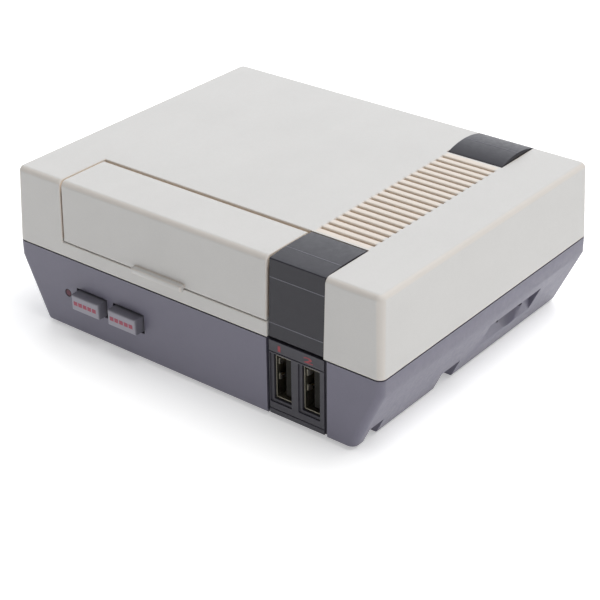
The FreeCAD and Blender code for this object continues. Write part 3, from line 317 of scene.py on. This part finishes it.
def circuit_board():
    """Green solder mask with copper tracks that show through it, and plated dots."""
    color = (0.012, 0.105, 0.045)
    s = Shader("board_green", color, 0.32, coat=0.25)
    brick = s.node("ShaderNodeTexBrick")
    brick.inputs["Scale"].default_value = 260.0
    brick.inputs["Mortar Size"].default_value = 0.012
    brick.inputs["Brick Width"].default_value = 1.7
    brick.inputs["Row Height"].default_value = 0.22
    s.link(s.place, brick.inputs["Vector"])
    track = s.spread(brick.outputs["Fac"], 0.2, 0.8)
    masked = s.math("MULTIPLY", track, s.spread(s.noise(60, 2, 0.5), 0.46, 0.52))
    tracked = s.mix(masked, color, (0.03, 0.19, 0.07))
    cells = s.node("ShaderNodeTexVoronoi")
    cells.inputs["Scale"].default_value = 210.0
    s.link(s.place, cells.inputs["Vector"])
    dots = s.spread(cells.outputs["Distance"], 0.085, 0.07)
    s.set_color(s.mix(dots, tracked, (0.62, 0.50, 0.26)))
    s.set_roughness(s.spread(s.noise(500, 3, 0.6), 0.3, 0.7, 0.26, 0.40))
    s.bump(s.math("MAXIMUM", masked, dots), 0.02 * MM)
    return s


def rubber(name, color, roughness=0.75):
    s = Shader(name, color, roughness)
    s.set_color(s.mix(s.spread(s.noise(400, 5, 0.6), 0.3, 0.7), scaled(color, 0.8), scaled(color, 1.3)))
    s.bump(s.noise(1500, 4, 0.6), 0.015 * MM)
    return s


def led_lens():
    """Clear red lens: paler in the middle, with a dark ring of painted shade where it meets its hole."""
    s = Shader("led_red", (0.20, 0.03, 0.06), 0.30)
    s.bsdf.inputs["Specular IOR Level"].default_value = 0.25
    low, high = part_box("power_led")
    across = s.math("SUBTRACT", s.axis("X"), (low[0] + high[0]) / 2)
    upward = s.math("SUBTRACT", s.axis("Z"), (low[2] + high[2]) / 2)
    square = s.math("ADD", s.math("MULTIPLY", across, across), s.math("MULTIPLY", upward, upward))
    ring = s.spread(s.math("SQRT", square), 0.65 * MM, 1.05 * MM)
    middle = s.mix(s.spread(s.noise(900, 3, 0.6), 0.3, 0.7), (0.09, 0.018, 0.035), (0.14, 0.035, 0.06))
    # painted shade: a dark ring at the lens's rim
    s.set_color(s.mix(ring, middle, (0.022, 0.004, 0.011)))
    return s


def printed_ink(name, color):
    """Pad-printed ink: slightly uneven coverage."""
    s = Shader(name, color, 0.55)
    s.set_color(s.mix(s.spread(s.noise(2500, 4, 0.7), 0.25, 0.7), scaled(color, 0.8), scaled(color, 1.12)))
    s.bump(s.noise(3500, 2, 0.5), 0.005 * MM)
    return s


finishes = {
    "shell_light": light_shell(),
    "shell_grey": grey_shell(),
    "trim_dark": trim_plastic(),
    "bezel_dark": moulded_plastic("bezel_dark", BEZEL_DARK, 0.46, (0.085, 0.082, 0.105), 0.4),
    "button_grey": button_plastic(),
    "led_red": led_lens(),
    "steel": metal("steel", (0.60, 0.59, 0.57), 0.30, (1, 6, 1)),
    "contact_gold": metal("contact_gold", (0.83, 0.60, 0.27), 0.28),
    "socket_black": smooth_plastic("socket_black", (0.018, 0.018, 0.020), 0.42),
    "board_green": circuit_board(),
    "chip_black": smooth_plastic("chip_black", (0.014, 0.014, 0.015), 0.55),
    "sink_metal": metal("sink_metal", (0.72, 0.72, 0.73), 0.34, (7, 1, 1)),
    "ceramic": smooth_plastic("ceramic", (0.36, 0.26, 0.17), 0.5),
    "plug_white": smooth_plastic("plug_white", (0.72, 0.70, 0.64), 0.45),
    "lead_black": rubber("lead_black", (0.018, 0.018, 0.020), 0.55),
    "card_black": smooth_plastic("card_black", (0.020, 0.020, 0.023), 0.35),
    "screw_steel": metal("screw_steel", (0.50, 0.50, 0.52), 0.33),
    "foot_rubber": rubber("foot_rubber", (0.030, 0.030, 0.032)),
}


# darker copies of their record slots' materials: painted shade on what is seen from outside, down in an
# opening
STEEL_SHADE = metal("steel_shade_copy", (0.33, 0.31, 0.25), 0.40, (1, 6, 1))
TONGUE_SHADE = smooth_plastic("tongue_shade_copy", (0.011, 0.010, 0.007), 0.6)
TONGUE_SHADE.bsdf.inputs["Specular IOR Level"].default_value = 0.2
STEEL_DEEP_SHADE = metal("steel_deep_shade_copy", (0.13, 0.125, 0.115), 0.50, (1, 6, 1))
shaded_copies = {"front_usb_shells": STEEL_SHADE, "power_inlet": STEEL_DEEP_SHADE, "hdmi_shell": STEEL_SHADE,
        "front_usb_tongues": TONGUE_SHADE, "audio_jack": TONGUE_SHADE}


def finish_nodes():
    """Puts each record slot's material, or its darker copy with painted shade, on its nodes."""
    for part in frame["record"]["subparts"]:
        piece = nodes[part["node"]]
        finish = shaded_copies.get(part["node"], finishes[part["material_slot"]])
        piece.data.materials.clear()
        piece.data.materials.append(finish.material)


finish_nodes()

# small mould radii on the outer pieces, in millimetres
EDGE_RADII = {
    "upper_shell": 0.30,
    "lower_shell": 0.25,
    "cartridge_door": 0.30,
    "front_trim": 0.25,
    "rear_trim": 0.25,
    "front_port_bezel": 0.12,
    "power_button": 0.25,
    "reset_button": 0.25,
}


def soften_edges():
    """Welds each outer node's seams and rounds its sharp edges."""
    for name, radius in EDGE_RADII.items():
        piece = nodes[name]
        weld = piece.modifiers.new("weld", "WELD")
        weld.merge_threshold = 0.0005 * MM
        bevel = piece.modifiers.new("bevel", "BEVEL")
        bevel.width = radius * MM
        bevel.segments = 3
        bevel.limit_method = "ANGLE"
        bevel.angle_limit = math.radians(50)
        bevel.use_clamp_overlap = True
        bevel.miter_outer = "MITER_ARC"
        bevel.harden_normals = False
        normals = piece.modifiers.new("normals", "WEIGHTED_NORMAL")
        normals.keep_sharp = False


soften_edges()


# =============================== printed marks ===============================
INK_RED = printed_ink("ink_red", (0.30, 0.035, 0.050))
INK_PINK = printed_ink("ink_pink", (0.37, 0.075, 0.115))
LINE_PALE = printed_ink("line_pale", (0.135, 0.135, 0.160))
INK_T = 0.03 * MM
BAR_COUNT, BAR_W, BAR_H, BAR_PITCH = 5, 1.45 * MM, 1.25 * MM, 1.82 * MM
DIGIT_H, DIGIT_DROP, DIGIT_WEIGHT = 1.7 * MM, 1.9 * MM, 0.018


def mesh_piece(name, corners, faces, material, body):
    mesh = bpy.data.meshes.new(name)
    mesh.from_pydata(corners, [], faces)
    mesh.update()
    piece = bpy.data.objects.new(name, mesh)
    scene.collection.objects.link(piece)
    mesh.materials.append(material)
    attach(piece, body)
    return piece


BLOCK_FACES = [(0, 3, 2, 1), (4, 5, 6, 7), (0, 1, 5, 4), (1, 2, 6, 5), (2, 3, 7, 6), (3, 0, 4, 7)]


def block_corners(low, high):
    x0, y0, z0 = low
    x1, y1, z1 = high
    return [(x0, y0, z0), (x1, y0, z0), (x1, y1, z0), (x0, y1, z0),
            (x0, y0, z1), (x1, y0, z1), (x1, y1, z1), (x0, y1, z1)]


def blocks_piece(name, boxes, material, body):
    corners, faces = [], []
    for low, high in boxes:
        start = len(corners)
        corners += block_corners(low, high)
        faces += [tuple(start + i for i in face) for face in BLOCK_FACES]
    return mesh_piece(name, corners, faces, material, body)


def button_print(node, body):
    """A row of short bars, where a word would be printed."""
    low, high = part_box(node)
    mid_x, mid_z = (low[0] + high[0]) / 2, (low[2] + high[2]) / 2
    boxes = []
    for i in range(BAR_COUNT):
        x = mid_x + (i - BAR_COUNT // 2) * BAR_PITCH
        boxes.append(((x - BAR_W / 2, low[1] - INK_T, mid_z - BAR_H / 2),
                      (x + BAR_W / 2, low[1] + INK_T, mid_z + BAR_H / 2)))
    blocks_piece(node + "_print", boxes, INK_PINK.material, body)


button_print("power_button", "power_button")
button_print("reset_button", "reset_button")


def bezel_digit(text, x, width):
    """Plain socket number on the bezel's top band."""
    low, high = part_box("front_port_bezel")
    curve = bpy.data.curves.new("socket_number_" + text, "FONT")
    curve.body = text
    curve.extrude = INK_T
    curve.offset = DIGIT_WEIGHT
    curve.align_x = "CENTER"
    curve.align_y = "CENTER"
    curve.materials.append(INK_RED.material)
    piece = bpy.data.objects.new("socket_number_" + text, curve)
    scene.collection.objects.link(piece)
    bpy.context.view_layer.update()
    piece.scale = (width / piece.dimensions.x, DIGIT_H / piece.dimensions.y, 1.0)
    piece.rotation_euler = (math.pi / 2, 0, 0)
    piece.location = (x, low[1], high[2] - DIGIT_DROP)
    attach(piece, "console")


bezel_digit("1", 32.2 * MM, 0.9 * MM)
bezel_digit("2", 41.8 * MM, 3.0 * MM)


# =============================== socket springs ===============================
SPRING_W, SPRING_L, SPRING_T, SPRING_RISE = 1.9 * MM, 4.2 * MM, 0.15 * MM, 0.55 * MM
SPRING_STEPS = 10
SPRING_DROP, SPRING_LIFT = 0.6 * MM, 4.0 * MM    # the two springs, below and above mid height
SLEEVE_W, SLEEVE_SKIN = 5.7 * MM, 0.3 * MM       # one socket's sleeve, as the CAD has it


def socket_springs(name, wall_x, mouth_y, heights):
    """Leaf springs on the left wall of an upright socket, bowed into it."""
    corners, faces = [], []
    for z in heights:
        start = len(corners)
        for step in range(SPRING_STEPS + 1):
            share = step / SPRING_STEPS
            y = mouth_y + MM + SPRING_L * share
            x = wall_x + SPRING_RISE * math.sin(math.pi * share)
            half = SPRING_W / 2 * (1 - 0.25 * share)
            corners += [(x, y, z - half), (x + SPRING_T, y, z - half),
                        (x + SPRING_T, y, z + half), (x, y, z + half)]
            if step:
                a = start + 4 * (step - 1)
                faces += [(a + i, a + (i + 1) % 4, a + 4 + (i + 1) % 4, a + 4 + i) for i in range(4)]
        last = start + 4 * SPRING_STEPS
        faces += [(start + 3, start + 2, start + 1, start), (last, last + 1, last + 2, last + 3)]
    mesh_piece(name, corners, faces, finishes["steel"].material, "console")


def front_socket_springs():
    """Two springs on the left wall of each front socket."""
    low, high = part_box("front_usb_shells")
    mid_z = (low[2] + high[2]) / 2
    heights = (mid_z - SPRING_DROP, mid_z + SPRING_LIFT)
    for name, left in (("left", low[0]), ("right", high[0] - SLEEVE_W)):
        socket_springs("front_socket_springs_" + name, left + SLEEVE_SKIN, low[1], heights)


front_socket_springs()


# =============================== lines on the trims ===============================
LINE_W, LINE_STEPS = 0.26 * MM, 12


def trim_line(name, node, at, view):
    """A thin pale inlay across a trim: at is its Y on top, or its Z on the upright face.

    view is the direction to look from outside onto the face that carries the line.
    """
    view = Vector(view)
    trim = nodes[node]
    low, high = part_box(node)
    corners, faces = [], []
    for step in range(LINE_STEPS + 1):
        x = low[0] + LINE_W + (high[0] - low[0] - 2 * LINE_W) * step / LINE_STEPS
        if view.z:
            start = Vector((x, at, high[2] + MM))
        else:
            start = Vector((x, low[1] - MM if view.y > 0 else high[1] + MM, at))
        place, normal = trim.ray_cast(start, view)[1:3]
        along = Vector((1, 0, 0))
        across = along.cross(normal).normalized()
        for side, lift in ((-1, -1), (1, -1), (1, 1), (-1, 1)):
            corners.append(tuple(place + across * side * LINE_W / 2 + normal * lift * INK_T))
        if step:
            a = 4 * (step - 1)
            faces += [(a + i, a + (i + 1) % 4, a + 4 + (i + 1) % 4, a + 4 + i) for i in range(4)]
    last = 4 * LINE_STEPS
    faces += [(3, 2, 1, 0), (last, last + 1, last + 2, last + 3)]
    mesh_piece(name, corners, faces, LINE_PALE.material, "console")


bpy.context.view_layer.update()
trim_line("front_trim_line_top", "front_trim", -41.0 * MM, (0, 0, -1))
trim_line("front_trim_line_upper", "front_trim", 42.0 * MM, (0, 1, 0))
trim_line("front_trim_line_lower", "front_trim", 28.9 * MM, (0, 1, 0))
trim_line("rear_trim_line_top", "rear_trim", 42.0 * MM, (0, 0, -1))
trim_line("rear_trim_line_upper", "rear_trim", 43.1 * MM, (0, -1, 0))
trim_line("rear_trim_line_lower", "rear_trim", 30.6 * MM, (0, -1, 0))


# =============================== studio ===============================
FLOOR_REACH, FLOOR_GLOW = 6.0, 0.38
BACKDROP_R, BACKDROP_H, BACKDROP_SIDES = 5.9, 5.0, 48
WORLD_STRENGTH = 0.24
LIGHT_AIM = (0, 0, 0.02)
KEY_PLACE, KEY_SIZE, KEY_WATTS = (1.0, 0.7, 3.0), 2.6, 92.0
BACK_PLACE, BACK_SIZE, BACK_WATTS = (-0.95, 1.18, 0.85), 1.6, 12.0
BACK_COLOR = (0.93, 0.95, 1.0)


def add_floor():
    """White floor with a slight glow of its own, plain white round the console."""
    r = FLOOR_REACH
    mesh = bpy.data.meshes.new("floor")
    mesh.from_pydata([(-r, -r, 0), (r, -r, 0), (r, r, 0), (-r, r, 0)], [], [(0, 1, 2, 3)])
    floor = bpy.data.objects.new("floor", mesh)
    scene.collection.objects.link(floor)
    s = Shader("floor", (0.90, 0.90, 0.90), 0.6)
    s.bsdf.inputs["Emission Color"].default_value = (1, 1, 1, 1)
    s.bsdf.inputs["Emission Strength"].default_value = FLOOR_GLOW
    mesh.materials.append(s.material)


def add_backdrop():
    """White wall all round, behind the console in level views."""
    sides = BACKDROP_SIDES
    turns = [2 * math.pi * i / sides for i in range(sides)]
    corners = [(BACKDROP_R * math.cos(a), BACKDROP_R * math.sin(a), z)
               for z in (0, BACKDROP_H) for a in turns]
    faces = [(i, (i + 1) % sides, sides + (i + 1) % sides, sides + i) for i in range(sides)]
    mesh = bpy.data.meshes.new("backdrop")
    mesh.from_pydata(corners, [], faces)
    wall = bpy.data.objects.new("backdrop", mesh)
    scene.collection.objects.link(wall)
    s = Shader("backdrop", (0, 0, 0), 1.0)
    s.bsdf.inputs["Emission Color"].default_value = (1, 1, 1, 1)
    s.bsdf.inputs["Emission Strength"].default_value = 1.0
    mesh.materials.append(s.material)
    # seen behind the console, but it throws no light or shade on it
    wall.visible_diffuse = False
    wall.visible_glossy = False
    wall.visible_transmission = False
    wall.visible_shadow = False


def add_area(name, place, size, watts, color=(1, 1, 1)):
    """Square area light turned to the console."""
    data = bpy.data.lights.new(name, "AREA")
    data.shape = "SQUARE"
    data.size = size
    data.energy = watts
    data.color = color
    light = bpy.data.objects.new(name, data)
    scene.collection.objects.link(light)
    light.location = place
    light.rotation_euler = (Vector(LIGHT_AIM) - Vector(place)).to_track_quat("-Z", "Y").to_euler()


def add_world():
    """Even, weak white light from all round."""
    world = bpy.data.worlds.new("world")
    scene.world = world
    world.use_nodes = True
    background = world.node_tree.nodes["Background"]
    background.inputs["Color"].default_value = (1, 1, 1, 1)
    background.inputs["Strength"].default_value = WORLD_STRENGTH


add_floor()
add_backdrop()
add_world()
add_area("key", KEY_PLACE, KEY_SIZE, KEY_WATTS)
add_area("back", BACK_PLACE, BACK_SIZE, BACK_WATTS, BACK_COLOR)
scene.view_settings.view_transform = "Standard"
